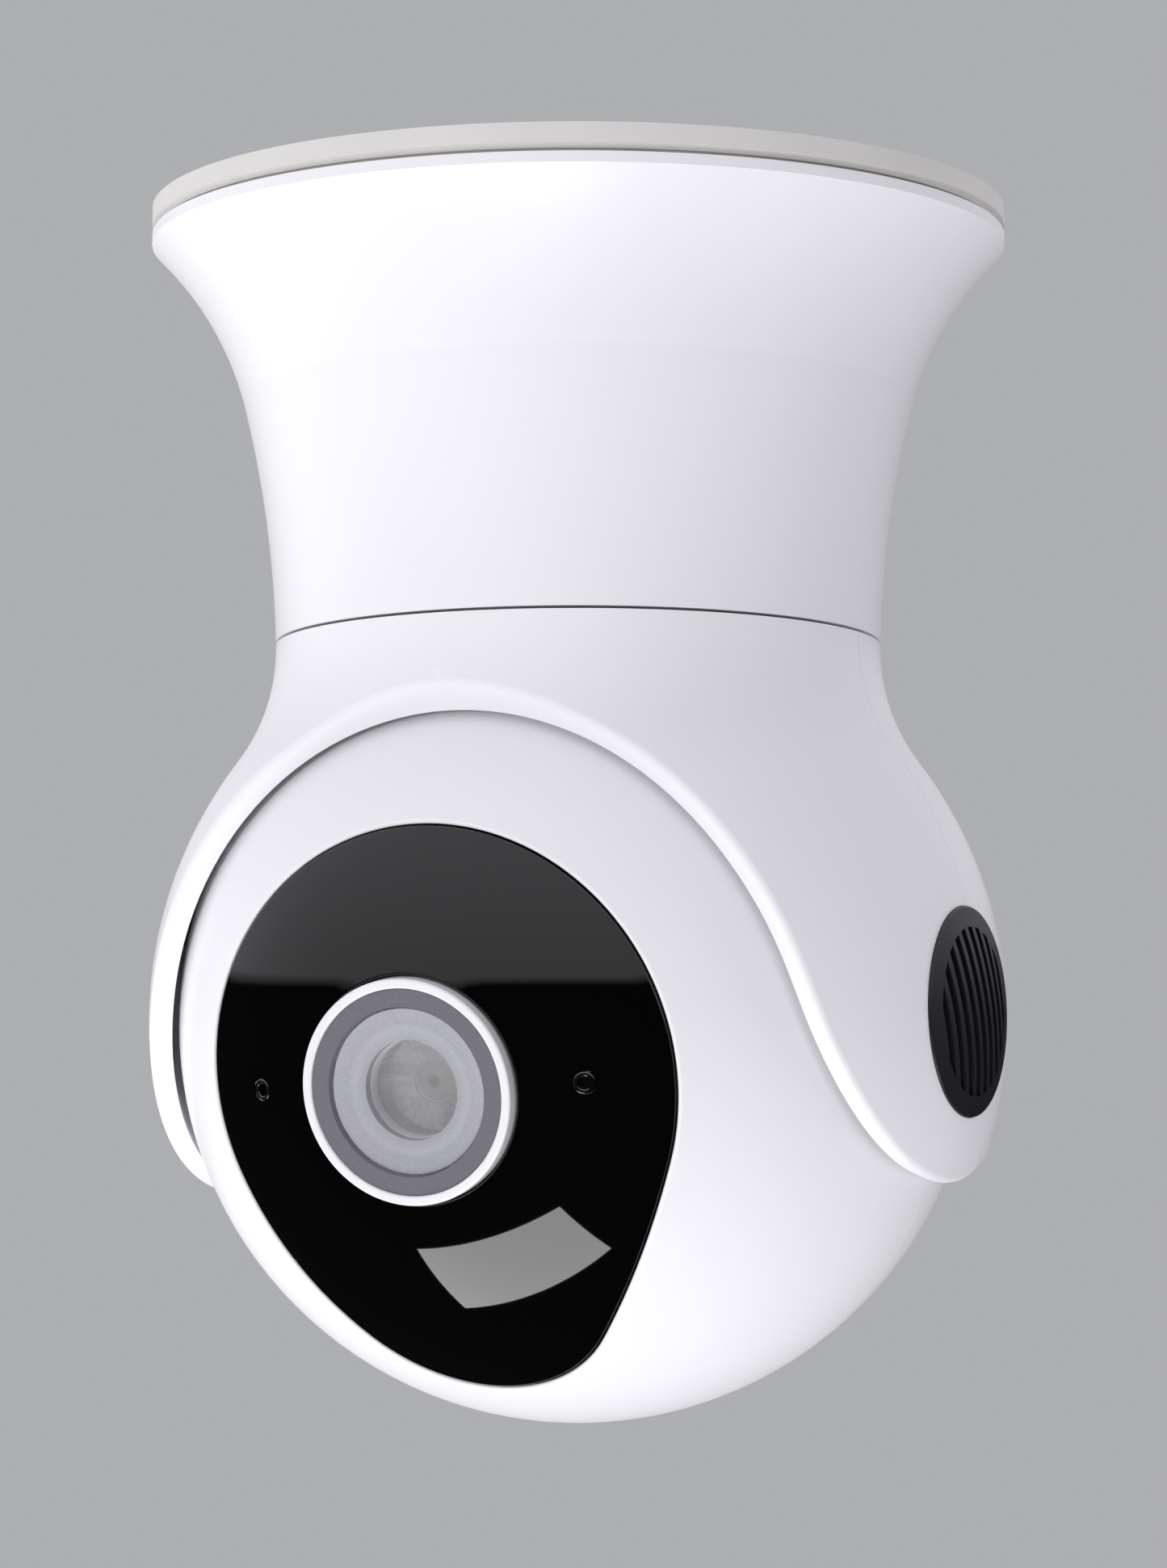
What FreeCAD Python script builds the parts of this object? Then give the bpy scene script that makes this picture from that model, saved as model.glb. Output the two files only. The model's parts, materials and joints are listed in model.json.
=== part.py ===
import FreeCAD, Part
import Sketcher
import math
import os
import re
from FreeCAD import Placement, Rotation, Vector

# A ceiling-mounted pan and tilt security camera, in millimetres.
# The origin is the centre of the ceiling face, +Z points up into the ceiling and the lens faces -Y.
# A flared base twists onto a mounting plate, a hood with two ears turns under it (pan), and a ball
# with the lens, the boards and the tilt drive hangs between the ears (tilt).
# Depths are counted down from the ceiling face.

SIZES = {
    # mounting plate and its seal
    "plate_radius": 45.0, "plate_thick": 2.5, "plate_bead": 0.5, "beyond": 100.0,
    "fixing_circle": 31.0, "fixing_hole": 2.25, "fixing_sink": 4.2,
    "hub_outer": 20.0, "hub_inner": 16.0, "hub_depth": 7.9,
    "lug_reach": 3.2, "lug_thick": 1.6, "lug_span": 24.0, "notch_room": 3.0, "unlock_turn": 30.0,
    "seal_thick": 0.25, "seal_radius": 44.3, "seal_width": 4.0, "seat_gap": 0.15,
    # base housing: rim, flare, waist and neck
    "rim_height": 1.1, "waist_radius": 35.35, "waist_depth": 20.1,
    "flare_arc": 36.0, "neck_arc": 117.0, "neck_taper": 0.6, "ledge_slope": 3.0,
    "neck_radius": 31.75, "seam_depth": 46.0, "seam_gap": 0.3,
    "base_wall": 2.2, "web_depth": 36.1, "web_thick": 2.5,
    # base cover, its screws and the power board
    "cover_radius": 40.5, "cover_thick": 2.0, "cover_drop": 0.3, "cover_ledge": 2.1, "side_gap": 0.2,
    "cover_screw_circle": 35.8, "post_radius": 2.3, "post_length": 5.2,
    "board_radius": 30.0, "board_thick": 1.6, "board_post_circle": 26.5, "board_post_length": 4.8,
    "socket_wide": 8.9, "socket_high": 3.3, "socket_deep": 7.0, "socket_wall": 0.4,
    "socket_inset": 2.0, "socket_back": 0.8, "plug_slot_wide": 12.0, "plug_slot_high": 7.0,
    "plug_slot_deep": 17.6, "plug_slot_out": 4.0,
    # screws
    "screw_radius": 1.0, "screw_length": 6.0, "head_radius": 1.7, "head_thick": 1.2, "head_room": 0.2,
    # pan drive
    "spindle_radius": 7.0, "spindle_bore": 4.5, "running_fit": 0.05,
    "bush_wall": 2.0, "bush_flange": 10.0, "bush_flange_thick": 0.8,
    "gear_module": 0.5, "pan_gear_teeth": 60, "tilt_gear_teeth": 48, "pinion_teeth": 12,
    "gear_root": 1.15, "gear_tip": 0.8, "gear_backlash": 0.05, "pressure_angle": 20.0,
    "gear_wide": 3.4, "gear_lift": 0.3, "clip_thick": 0.8, "clip_radius": 8.8, "clip_groove": 0.7,
    "motor_radius": 10.0, "motor_long": 14.5, "motor_ear": 14.0, "motor_ear_thick": 0.8,
    "motor_shaft": 1.0, "motor_standoff": 5.1, "shaft_sunk": 4.1, "cable_radius": 2.2,
    "cable_short": 0.4, "spindle_end": 0.8,
    "stop_circle": 20.0, "stop_pin": 1.0, "stop_lug": 1.0, "pin_share": 0.8, "lug_share": 0.7,
    # turntable inside the neck
    "turntable_radius": 29.0, "turntable_depth": 41.0, "turntable_thick": 2.0,
    "skirt_wall": 4.0, "skirt_depth": 50.6, "skirt_flange": 1.2, "skirt_flange_high": 2.0,
    # hood and ball
    "tilt_depth": 85.7, "lens_droop": 12.7, "ball_radius": 41.6, "ball_wall": 2.2, "ball_flat": 38.6,
    "hood_radius": 44.7, "hood_bore": 42.4, "shoulder_arc": 20.0, "flat_gap": 0.3,
    "ear_radius": 25.5, "ear_rise": 8.9, "ear_reach": 24.4, "ear_side_arc": 165.0,
    "axle_radius": 5.0, "axle_bore": 3.0, "axle_seat": 4.2, "axle_flange": 8.0, "axle_flange_thick": 2.0,
    "axle_flange_cover": 1.0, "hood_screw": 0.8, "hood_screw_head": 1.4, "hood_screw_seat": 4.5,
    "hood_screw_long": 11.5, "hood_screw_inset": 0.7, "hood_screw_drop": 2.0, "ear_screw_out": 1.9,
    "ear_screw_drop": 3.2, "lip_round": 0.8, "parting_wide": 0.06, "parting_deep": 0.1,
    "boss_end": 34.0, "tilt_bush_wall": 1.5, "tilt_bush_long": 2.6, "tilt_gear_face": 33.2,
    "axle_end": 0.4,
    # speaker in the right ear
    "speaker_radius": 10.0, "speaker_thick": 3.0, "speaker_floor": 40.0, "speaker_gap": 0.2,
    "gasket_wide": 2.0,
    "grille_radius": 10.7, "grille_seat": 43.25, "grille_proud": 0.3, "grille_round": 0.2,
    "grille_slots": 9, "slot_wide": 1.1, "slot_pitch": 1.9, "slot_field": 8.6, "slot_lean": 20.0,
    # window and lens
    "window_radius": 25.4, "window_side_arc": 60.0, "window_tip_arc": 17.0, "window_tip": 33.1,
    "window_thick": 1.2, "window_sink": 0.2, "window_gap": 0.15, "window_ledge": 1.6,
    "window_root": 15.0, "window_round": 0.2, "pocket_round": 0.3,
    "bezel_radius": 11.3, "bezel_wall": 1.0, "bezel_round": 0.25, "bezel_front": 41.0, "bezel_flange": 1.2,
    "bezel_gap": 0.15,
    "glass_thick": 0.6, "glass_sink": 0.2, "glass_ledge": 0.25, "shroud_mouth": 8.2, "shroud_throat": 5.0,
    "shroud_clear": 0.6, "shroud_gap": 0.1, "shroud_lip": 1.0,
    "barrel_radius": 6.0, "barrel_rim": 0.5, "barrel_relief": 1.2, "barrel_front": 38.5, "barrel_back": 21.0,
    "lens_radius": 4.9, "lens_sunk": 0.2, "lens_edge": 1.3, "pupil_thick": 0.6,
    "holder_wide": 17.0, "holder_front": 26.0,
    "holder_room": 12.0, "holder_face": 1.1, "filter_wide": 8.0, "sensor_wide": 9.0,
    "eyelet_offset": 17.7, "eyelet": 1.0,
    # boards in the ball
    "main_board_wide": 46.0, "main_board_high": 45.0, "main_board_front": 17.0,
    "post_x": 20.5, "post_z": 20.0, "led_board_radius": 21.5, "led_board_front": 31.0, "led_circle": 17.2,
    "led_radius": 1.5, "ball_screw_circle": 35.5, "slim_post": 2.2,
    "tilt_motor_offset": 15.0, "card_y": 7.0, "card_wide": 11.0, "card_long": 15.0, "card_thick": 1.0,
    "card_gap": 0.15, "button_y": 13.0, "button_radius": 1.4, "button_gap": 0.15,
    "card_board_wide": 18.0, "card_board_y": 8.5,
    "boss_long": 15.0, "board_boss": 1.8, "board_boss_long": 11.0, "ball_screw_seat": 11.0,
    "ball_screw_long": 16.0, "tilt_motor_face": 28.8, "tilt_post_long": 5.8, "pupil": 2.2, "lens_deep": 3.9,
    "lens_curve": 12.5, "filter_thick": 0.4, "sensor_thick": 1.2, "led_board_thick": 1.2, "led_high": 3.0,
    "microphone_wide": 4.0, "microphone_high": 3.0, "microphone_thick": 1.2, "boot_radius": 2.2,
    "boot_long": 2.5, "pipe_long": 6.3, "chip_wide": 12.0, "chip_drop": 7.0, "chip_thick": 1.2,
    "spreader_wide": 24.0, "spreader_high": 16.0, "spreader_drop": 9.0, "spreader_thick": 1.0,
    "radio_wide": 13.0, "radio_high": 11.0, "radio_thick": 2.2, "radio_x": 11.0, "radio_rise": 9.0,
    "shaft_bore_deep": 5.0, "rail_wide": 1.6, "rail_deep": 2.6, "rail_high": 9.0,
    "card_sunk": 0.6, "socket_rise": 2.6, "socket_side": 1.5, "socket_skin": 1.0, "socket_end": 0.9,
    "socket_long": 13.5,
    "card_board_thick": 1.0, "card_board_rise": 0.8, "button_sunk": 0.2, "button_long": 4.0,
    "button_flange": 0.8, "button_travel": 0.25, "switch_wide": 6.0, "switch_deep": 5.6,
    "switch_high": 3.0, "switch_gap": 0.6,
}

doc = FreeCAD.newDocument("security_camera")
sheet = doc.addObject("Spreadsheet::Sheet", "Sizes")
for row, (alias, value) in enumerate(SIZES.items(), start=1):
    sheet.set("A%d" % row, alias)
    sheet.set("B%d" % row, str(value))
    sheet.setAlias("B%d" % row, alias)
doc.recompute()

worked = doc.addObject("Spreadsheet::Sheet", "Worked")

PARTS = []
LAMP_ANGLES = (45, 90, 135, 225, 270, 315)
TURNS = {"X": Rotation(Vector(0, 1, 0), 90), "-X": Rotation(Vector(0, 1, 0), -90),
         "Y": Rotation(Vector(1, 0, 0), -90), "-Y": Rotation(Vector(1, 0, 0), 90),
         "Z": Rotation(), "-Z": Rotation(Vector(1, 0, 0), 180)}
OPPOSITE = {"X": "-X", "-X": "X", "Y": "-Y", "-Y": "Y", "Z": "-Z", "-Z": "Z"}
TURNED_PLANES = {"X": ("XY_Plane", "H_Axis"), "Y": ("XY_Plane", "V_Axis"), "Z": ("XZ_Plane", "V_Axis")}


def size(alias):
    """A size as it stands in the sheet."""
    return float(sheet.get(alias))


def linked(text):
    """An expression over the sizes with each alias pointed at the sheet."""
    return re.sub(r"[a-z]\w*", lambda word: "Sizes." + word[0] if word[0] in SIZES else word[0], text)


def number(text):
    """What an expression over the sizes comes to."""
    worked.set("A1", "=" + linked(text))
    doc.recompute([worked])
    return float(worked.get("A1"))


def bind(thing, fields):
    """Tie each field of a document object to an expression over the sizes."""
    for field, text in fields.items():
        thing.setExpression(field, linked(text))


def seat(thing, at, along="Z"):
    thing.Placement = Placement(Vector(), TURNS[along])
    bind(thing, dict(zip(("Placement.Base.x", "Placement.Base.y", "Placement.Base.z"), at)))
    return thing


def rod(radius, length, at=("0", "0", "0"), along="Z"):
    """A cylinder that starts at a point and runs along +X, +Y or +Z."""
    thing = doc.addObject("Part::Cylinder", "rod")
    bind(thing, {"Radius": radius, "Height": length})
    return seat(thing, at, along)


def ball(radius, at=("0", "0", "0")):
    thing = doc.addObject("Part::Sphere", "ball")
    bind(thing, {"Radius": radius})
    return seat(thing, at)


def block(long, deep, high, at):
    """A box centred in X and Y on a point, which is its lowest in Z."""
    thing = doc.addObject("Part::Box", "block")
    bind(thing, {"Length": long, "Width": deep, "Height": high})
    x, y, z = at
    return seat(thing, ("%s - (%s) / 2" % (x, long), "%s - (%s) / 2" % (y, deep), z))


def joined(*pieces):
    if len(pieces) == 1:
        return pieces[0]
    thing = doc.addObject("Part::MultiFuse", "joined")
    thing.Shapes = list(pieces)
    return thing


def less(base, *tools):
    thing = doc.addObject("Part::Cut", "less")
    thing.Base = base
    thing.Tool = joined(*tools)
    return thing


def shared(*pieces):
    thing = doc.addObject("Part::MultiCommon", "shared")
    thing.Shapes = list(pieces)
    return thing


def several(*pieces):
    """Separate solids that make one group."""
    thing = doc.addObject("Part::Compound", "several")
    thing.Links = list(pieces)
    return thing


def fixed_shape(shape):
    thing = doc.addObject("Part::Feature", "fixed_shape")
    thing.Shape = shape
    return thing


def outline(body, role, corners, arcs):
    """A closed sketch: each corner is bound to the sheet, and so is the radius of each arc."""
    sketch = body.newObject("Sketcher::SketchObject", "outline")
    plane = next(feature for feature in body.Origin.OriginFeatures if feature.Role == role)
    sketch.AttachmentSupport = [(plane, "")]
    sketch.MapMode = "FlatFace"
    points = [Vector(number(across), number(up), 0) for across, up in corners]
    ends = []
    for index, start in enumerate(points):
        end = points[(index + 1) % len(points)]
        if index in arcs:
            radius, side = number(arcs[index][0]), arcs[index][1]
            chord = end - start
            rise = radius - math.sqrt(radius ** 2 - chord.Length ** 2 / 4)
            middle = (start + end) / 2 + Vector(-chord.y, chord.x, 0).normalize() * rise * side
            edge = sketch.addGeometry(Part.Arc(start, middle, end), False)
            datum = sketch.addConstraint(Sketcher.Constraint("Radius", edge, radius))
            bind_datum(sketch, datum, arcs[index][0])
        else:
            edge = sketch.addGeometry(Part.LineSegment(start, end), False)
        first = 1 if sketch.getPoint(edge, 1).distanceToPoint(start) < 1e-6 else 2
        ends.append((edge, first, 3 - first))
    for index, (edge, first, last) in enumerate(ends):
        following, follower, _ = ends[(index + 1) % len(ends)]
        sketch.addConstraint(Sketcher.Constraint("Coincident", edge, last, following, follower))
        for kind, place, text in (("DistanceX", points[index].x, corners[index][0]),
                                  ("DistanceY", points[index].y, corners[index][1])):
            datum = sketch.addConstraint(Sketcher.Constraint(kind, -1, 1, edge, first, place))
            bind_datum(sketch, datum, text)
    return sketch


def bind_datum(sketch, datum, text):
    bind(sketch, {"Constraints[%d]" % datum: text})


def turned(corners, axis="Z", arcs=None):
    """A body of revolution: corners are (radius, place along the axis)."""
    role, spin = TURNED_PLANES[axis]
    if axis == "X":
        corners = [(along, radius) for radius, along in corners]
    body = doc.addObject("PartDesign::Body", "turned")
    sketch = outline(body, role, corners, arcs or {})
    doc.recompute()
    revolution = body.newObject("PartDesign::Revolution", "revolution")
    revolution.Profile = sketch
    revolution.ReferenceAxis = (sketch, [spin])
    revolution.Angle = 360
    doc.recompute()
    return body


def ring(inner, outer, low, high, axis="Z"):
    return turned([(inner, low), (outer, low), (outer, high), (inner, high)], axis)


def around(count, radius, start=0.0):
    """Points evenly round the Z axis, as expressions in X and Y."""
    angles = [math.radians(start + 360.0 * step / count) for step in range(count)]
    return [("%s * %.9f" % (radius, math.cos(angle)), "%s * %.9f" % (radius, math.sin(angle)))
            for angle in angles]


def screw(at, along, length="screw_length"):
    """A pan-head screw: the underside of its head is at a point and its shank runs along."""
    shank = rod("screw_radius", length, at, along)
    head = rod("head_radius", "head_thick", at, OPPOSITE[along])
    return joined(shank, head)


def hole(at, along, length):
    return rod("screw_radius", length, at, along)


def sharp_edges(shape, wanted):
    """The sharp edges of a shape whose middle point passes a test, as pairs of number and edge."""
    picked = []
    for place, edge in enumerate(shape.Edges, start=1):
        beside = shape.ancestorsOfType(edge, Part.Face)
        if edge.Degenerated or len(beside) != 2:
            continue
        middle = edge.valueAt((edge.FirstParameter + edge.LastParameter) / 2)
        normals = [face.normalAt(*face.Surface.parameter(middle)) for face in beside]
        if normals[0].getAngle(normals[1]) > math.radians(25) and wanted(middle):
            picked.append((place, edge))
    return picked


def rounded(thing, radius, wanted):
    """A fillet along the sharp edges whose middle point passes a test."""
    doc.recompute()
    fillet = doc.addObject("Part::Fillet", "rounded")
    fillet.Base = thing
    fillet.Edges = [(place, size(radius), size(radius)) for place, _ in sharp_edges(thing.Shape, wanted)]
    return fillet


def wedges(span, start):
    """Three wedges about the Z axis that keep or cut that angle of a ring under the ceiling face."""
    reach = 2 * size("hub_outer")
    half = reach * math.tan(math.radians(span / 2))
    pieces = []
    for turn in range(3):
        corners = [Vector(), Vector(reach, -half, 0), Vector(reach, half, 0), Vector()]
        wedge = Part.Face(Part.makePolygon(corners)).extrude(Vector(0, 0, -size("hub_depth") * 2))
        wedge.rotate(Vector(), Vector(0, 0, 1), 120 * turn + start)
        pieces.append(fixed_shape(wedge))
    return joined(*pieces)


def part(label, thing):
    """Name a finished piece, which gives it its node."""
    thing.Label = label
    PARTS.append(thing)
    return thing


def gear_shape(teeth, module, wide, bore, phase):
    """A spur gear with stub involute teeth, standing on Z = 0."""
    pitch, flank_points = module * teeth / 2, 4
    pressure = math.radians(size("pressure_angle"))
    base = pitch * math.cos(pressure)
    root, tip = pitch - size("gear_root") * module, pitch + size("gear_tip") * module
    half_tooth = math.pi / (2 * teeth) - size("gear_backlash") / pitch
    spread = math.tan(pressure) - pressure
    low = max(base, root)
    flank = []
    for step in range(flank_points):
        radius = low + (tip - low) * step / (flank_points - 1)
        roll = math.acos(min(1.0, base / radius))
        flank.append((radius, half_tooth + spread - math.tan(roll) + roll))
    flank.insert(0, (root, flank[0][1]))
    points = []
    for tooth in range(teeth):
        middle = math.radians(phase) + 2 * math.pi * tooth / teeth
        sides = [(radius, middle - angle) for radius, angle in flank]
        sides += [(radius, middle + angle) for radius, angle in reversed(flank)]
        points += [Vector(radius * math.cos(angle), radius * math.sin(angle), 0) for radius, angle in sides]
    face = Part.Face(Part.makePolygon(points + points[:1]))
    return face.extrude(Vector(0, 0, wide)).cut(Part.makeCylinder(bore, wide))


# Mounting plate: the grey disc screwed to the ceiling, with a hub whose three lugs hold the base.
fixings = around(3, "fixing_circle", 30)
plate = turned([("hub_inner", "0"), ("plate_radius", "0"), ("plate_radius", "-(plate_thick - plate_bead)"),
                ("plate_radius - plate_bead", "-plate_thick"), ("hub_outer", "-plate_thick"),
                ("hub_outer", "-hub_depth"), ("hub_inner", "-hub_depth")], arcs={2: ("plate_bead", -1)})
lug_top = "-(hub_depth - lug_thick)"
lug_ring = ring("hub_outer - 1", "hub_outer + lug_reach", "-hub_depth", lug_top)
drilled = less(plate, *[rod("fixing_hole", "plate_thick", (x, y, "-plate_thick")) for x, y in fixings])
for x, y in fixings:
    sink = doc.addObject("Part::Cone", "sink")
    bind(sink, {"Radius1": "fixing_sink", "Radius2": "fixing_hole", "Height": "plate_thick * 0.8"})
    drilled = less(drilled, seat(sink, (x, y, "-plate_thick")))
part("mounting_plate", joined(drilled, shared(lug_ring, wedges(size("lug_span"), 0))))
part("mounting_seal", ring("seal_radius - seal_width", "seal_radius", "-(plate_thick + seal_thick)",
                           "-plate_thick"))

# Base housing: rim, flare, neck and the web that carries the pan bearing and the motor posts.
rim_top = "-(plate_thick + seal_thick + seat_gap)"
rim_foot = "-(plate_thick + seal_thick + seat_gap + rim_height)"
cover_top = "-(plate_thick + seal_thick + seat_gap + cover_drop)"
cover_foot = "-(plate_thick + seal_thick + seat_gap + cover_drop + cover_thick)"
seat_radius = "cover_radius + side_gap"
web_foot = "-(web_depth + web_thick)"
bush_radius = "spindle_radius + running_fit + bush_wall"
housing = turned([
    (seat_radius, rim_top), ("plate_radius", rim_top), ("plate_radius", rim_foot),
    ("waist_radius", "-waist_depth"), ("neck_radius", "-seam_depth"),
    ("neck_radius - base_wall", "-seam_depth"), ("neck_radius - base_wall", web_foot),
    (bush_radius, web_foot), (bush_radius, "-web_depth"),
    ("neck_radius - base_wall + neck_taper", "-web_depth"), ("waist_radius - base_wall", "-waist_depth"),
    (seat_radius + " - cover_ledge", cover_foot + " - ledge_slope"),
    (seat_radius + " - cover_ledge", cover_foot),
    (seat_radius, cover_foot)],
    arcs={2: ("flare_arc", -1), 3: ("neck_arc", -1), 9: ("neck_arc + base_wall", 1),
          10: ("flare_arc + base_wall", 1)})
gear_reach = "gear_module * (pan_gear_teeth + pinion_teeth) / 2"
cover_screws = around(3, "cover_screw_circle", 90 + 60)
cover_posts = [rod("post_radius", "post_length", (x, y, cover_foot), "-Z") for x, y in cover_screws]
ear_seat = "-(web_depth - motor_standoff)"
motor_posts = [rod("post_radius", "motor_standoff", (gear_reach, side + "motor_ear", "-web_depth"))
               for side in ("", "-")]
stop_pin = rod("stop_pin", "(turntable_depth - web_depth - web_thick) * pin_share",
               ("0", "stop_circle", web_foot), "-Z")
socket_top = cover_foot + " - board_post_length - board_thick"
slot_floor = "%s - socket_high / 2 - plug_slot_high / 2" % socket_top
plug_slot = block("plug_slot_wide", "plug_slot_deep", "plug_slot_high",
                  ("0", "waist_radius + plug_slot_out", slot_floor))
holes = [hole((x, y, cover_foot), "-Z", "post_length") for x, y in cover_screws]
holes += [hole((gear_reach, side + "motor_ear", ear_seat), "-Z", "screw_length") for side in ("", "-")]
part("base_housing", less(joined(housing, *cover_posts, *motor_posts, stop_pin), plug_slot, *holes))

# Base cover: the closing disc, notched for the lugs, with posts that hold the power board.
cover_bore = "hub_outer + side_gap"
board_screws = around(3, "board_post_circle", 90 + 60)
board_top = "%s - board_post_length" % cover_foot
notch_ring = ring("hub_outer - 1", "hub_outer + lug_reach + side_gap", cover_foot, cover_top)
notches = wedges(size("lug_span") + size("notch_room"), size("unlock_turn"))
cover = ring(cover_bore, "cover_radius", cover_foot, cover_top)
board_posts = [rod("post_radius", "board_post_length", (x, y, cover_foot), "-Z") for x, y in board_screws]
cover_holes = [hole((x, y, cover_top), "-Z", "cover_thick") for x, y in cover_screws]
cover_sinks = [rod("head_radius + head_room", "head_thick", (x, y, cover_top), "-Z") for x, y in cover_screws]
board_holes = [hole((x, y, board_top), "Z", "board_post_length") for x, y in board_screws]
part("base_cover", less(joined(cover, *board_posts), shared(notch_ring, notches),
                        *cover_holes, *cover_sinks, *board_holes))
part("base_cover_screws", several(*[screw((x, y, cover_top + " - head_thick"), "-Z", "post_length")
                                    for x, y in cover_screws]))

# Power board under the cover, its inlet at the back of the base, and the cable down the spindle.
board = rod("board_radius", "board_thick", ("0", "0", board_top), "-Z")
part("power_board", less(board, *[hole((x, y, board_top), "-Z", "board_thick") for x, y in board_screws]))
part("power_board_screws", several(*[screw((x, y, board_top + " - board_thick"), "Z", "post_length")
                                     for x, y in board_screws]))
socket_foot = socket_top + " - socket_high"
socket_place = ("0", "board_radius + socket_deep / 2 - socket_inset", socket_foot)
socket_mouth = ("0", "board_radius + socket_deep / 2 - socket_inset + socket_back",
                socket_foot + " + socket_wall")
socket_room = block("socket_wide - 2 * socket_wall", "socket_deep", "socket_high - 2 * socket_wall",
                    socket_mouth)
part("power_socket", less(block("socket_wide", "socket_deep", "socket_high", socket_place), socket_room))
part("pan_cable", rod("cable_radius", "turntable_depth + turntable_thick - cable_short + (%s)" % socket_top,
                      ("0", "0", socket_top), "-Z"))

# Pan drive in the base: a geared motor on two posts and the flanged bush in the web.
part("pan_bush", turned([
    ("spindle_radius + running_fit", web_foot + " - bush_flange_thick"),
    ("bush_flange", web_foot + " - bush_flange_thick"), ("bush_flange", web_foot),
    (bush_radius, web_foot), (bush_radius, "-web_depth"), ("spindle_radius + running_fit", "-web_depth")]))
can = rod("motor_radius", "motor_long", (gear_reach, "0", ear_seat))
ears = block("post_radius * 2", "2 * motor_ear + post_radius * 2", "motor_ear_thick",
             (gear_reach, "0", ear_seat))
ear_holes = [hole((gear_reach, side + "motor_ear", ear_seat), "Z", "motor_ear_thick") for side in ("", "-")]
shaft_bore = rod("motor_shaft + running_fit", "motor_standoff", (gear_reach, "0", ear_seat))
part("pan_motor", less(joined(can, ears), shaft_bore, *ear_holes))
part("pan_motor_screws", several(*[
    screw((gear_reach, side + "motor_ear", ear_seat + " + motor_ear_thick"), "-Z", "motor_standoff")
    for side in ("", "-")]))
gear_foot = "-(web_depth - gear_lift)"
part("pan_motor_shaft", rod("motor_shaft", "motor_standoff - gear_lift + shaft_sunk",
                            (gear_reach, "0", gear_foot)))
pinion = fixed_shape(gear_shape(int(size("pinion_teeth")), size("gear_module"), size("gear_wide"),
                                size("motor_shaft"), 180 / size("pinion_teeth")))
part("pan_pinion", seat(pinion, (gear_reach, "0", gear_foot)))

# Turntable: the disc, the skirt that the hood clamps and the hollow spindle with its gear and clip.
hub_top = web_foot + " - bush_flange_thick - gear_lift"
gear_top = "-(web_depth - gear_lift - gear_wide)"
clip_top = gear_top + " + clip_thick"
disc_foot = "-(turntable_depth + turntable_thick)"
table = turned([
    ("spindle_bore", disc_foot), ("turntable_radius - skirt_wall", disc_foot),
    ("turntable_radius - skirt_wall", "-skirt_depth"),
    ("turntable_radius + skirt_flange", "-skirt_depth"),
    ("turntable_radius + skirt_flange", "-(skirt_depth - skirt_flange_high)"),
    ("turntable_radius", "-(skirt_depth - skirt_flange_high)"), ("turntable_radius", "-turntable_depth"),
    ("bush_flange", "-turntable_depth"), ("bush_flange", hub_top), ("spindle_radius", hub_top),
    ("spindle_radius", gear_top), ("spindle_radius - clip_groove", gear_top),
    ("spindle_radius - clip_groove", clip_top), ("spindle_radius", clip_top),
    ("spindle_radius", clip_top + " + spindle_end"), ("spindle_bore", clip_top + " + spindle_end")])
stop_lug = block("stop_lug", "stop_lug * 2", "(turntable_depth - web_depth - web_thick) * lug_share",
                 ("0", "-stop_circle", "-turntable_depth"))
part("turntable", joined(table, stop_lug))
pan_gear = gear_shape(int(size("pan_gear_teeth")), size("gear_module"), size("gear_wide"),
                      size("spindle_radius"), 0)
part("pan_gear", seat(fixed_shape(pan_gear), ("0", "0", gear_foot)))
part("spindle_clip", ring("spindle_radius - clip_groove", "clip_radius", gear_top, clip_top))

# Hood: a shell of revolution with a ball-shaped room in it, cut back to two ears by a lip that runs
# straight away from the ball's centre. It is made about the tilt axis and parts in the plane Y = 0.
hood_frame = Placement(Vector(0, 0, -size("tilt_depth")), Rotation())
ball_frame = Placement(Vector(0, 0, -size("tilt_depth")), Rotation(Vector(1, 0, 0), size("lens_droop")))
pad_face = size("ball_flat") + size("flat_gap")
beyond = size("beyond")


def placed(label, thing, frame):
    """A finished piece made about the tilt axis, put in its place in the camera."""
    carried = several(thing) if thing.ExpressionEngine else thing
    carried.Placement = frame
    return part(label, carried)


def cylinder(radius, low, high, along, across=(0, 0)):
    """A plain cylinder between two places along X or Y; across is its place in the other two axes."""
    if along == "X":
        return Part.makeCylinder(radius, high - low, Vector(low, across[0], across[1]), Vector(1, 0, 0))
    return Part.makeCylinder(radius, high - low, Vector(across[0], low, across[1]), Vector(0, 1, 0))


def hood_body(inset=0):
    """The hood's outer shape: neck, hollow shoulder and sphere, turned round Z."""
    neck, round_radius = size("neck_radius") - inset, size("hood_radius") - inset
    shoulder = size("shoulder_arc") + inset
    seam = size("tilt_depth") - size("seam_depth") - size("seam_gap")
    foot = -size("ear_radius")
    centre = Vector(neck + shoulder, 0, 0)
    centre.z = math.sqrt((round_radius + shoulder) ** 2 - centre.x ** 2)
    touch = centre * (round_radius / (round_radius + shoulder))
    start = Vector(neck, 0, centre.z)
    inward = (start + touch) / 2 - centre
    middle = centre + inward.normalize() * shoulder
    low = Vector(math.sqrt(round_radius ** 2 - foot ** 2), 0, foot)
    edges = [Part.LineSegment(Vector(0, 0, seam), Vector(neck, 0, seam)).toShape(),
             Part.LineSegment(Vector(neck, 0, seam), start).toShape(),
             Part.Arc(start, middle, touch).toShape(),
             Part.Arc(touch, Vector(round_radius, 0, 0), low).toShape(),
             Part.LineSegment(low, Vector(0, 0, foot)).toShape(),
             Part.LineSegment(Vector(0, 0, foot), Vector(0, 0, seam)).toShape()]
    return Part.Face(Part.Wire(edges)).revolve(Vector(), Vector(0, 0, 1), 360)


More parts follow.
